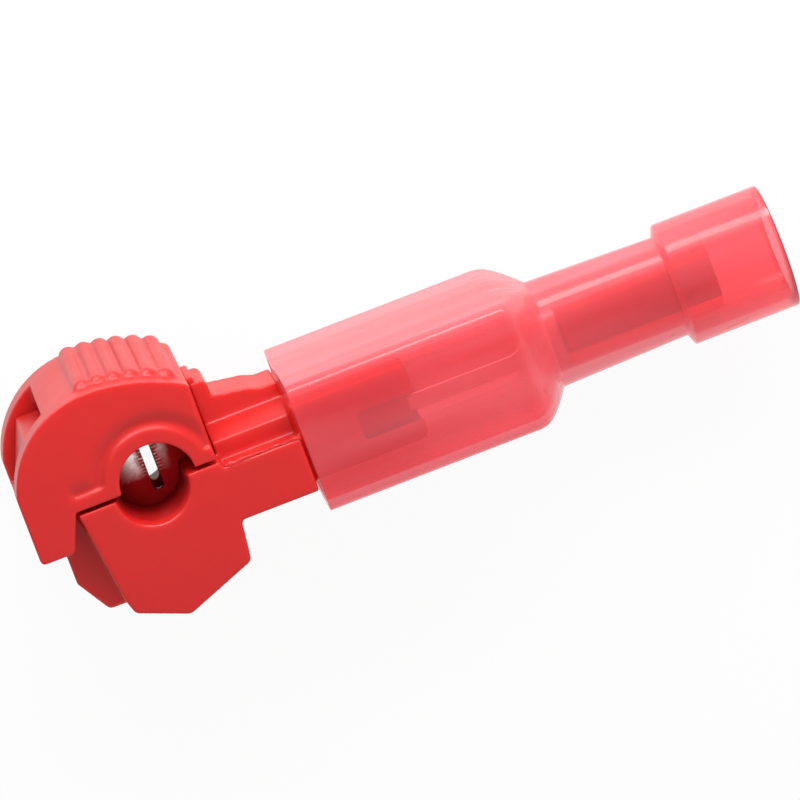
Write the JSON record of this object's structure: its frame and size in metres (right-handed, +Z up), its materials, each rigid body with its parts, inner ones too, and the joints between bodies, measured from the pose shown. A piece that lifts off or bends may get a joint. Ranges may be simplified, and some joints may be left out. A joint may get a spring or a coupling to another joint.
{
  "type": "wire tap connector",
  "caption": "Hinged wire tap clamped shut on slotted contact blades, with an insulated male tab plug pushed on its outlet and a flared wire entry at the far end.",
  "frame": {"origin": "middle of the underside of the bounding box, with the connector lying on its side", "axes": "+X along the plug towards its wire entry, +Y towards the cover's grip, +Z up along the bore that takes the run wire"},
  "size_m": [0.0354, 0.0112, 0.0095],
  "materials": {
    "red_nylon": "semi-gloss",
    "clear_red_nylon": "gloss",
    "tinned_brass": "satin",
    "copper_sleeve": "satin"
  },
  "bodies": {
    "base": {"base_housing": "red_nylon", "splice_contact": "tinned_brass"},
    "cover": {"clamp_cover": "red_nylon"},
    "plug": {"plug_housing": "clear_red_nylon", "tab_terminal": "tinned_brass", "support_sleeve": "copper_sleeve"}
  },
  "joints": [
    {"name": "cover_hinge", "type": "hinge", "parent": "base", "child": "cover", "pos_m": [-0.00889, 0.00352, 0.00475], "axis": [0, 0, -1], "range_deg": [0, 100]},
    {"name": "plug_slide", "type": "slide", "parent": "base", "child": "plug", "axis": [1, 0, 0], "range_m": [0, 0.008]}
  ]
}
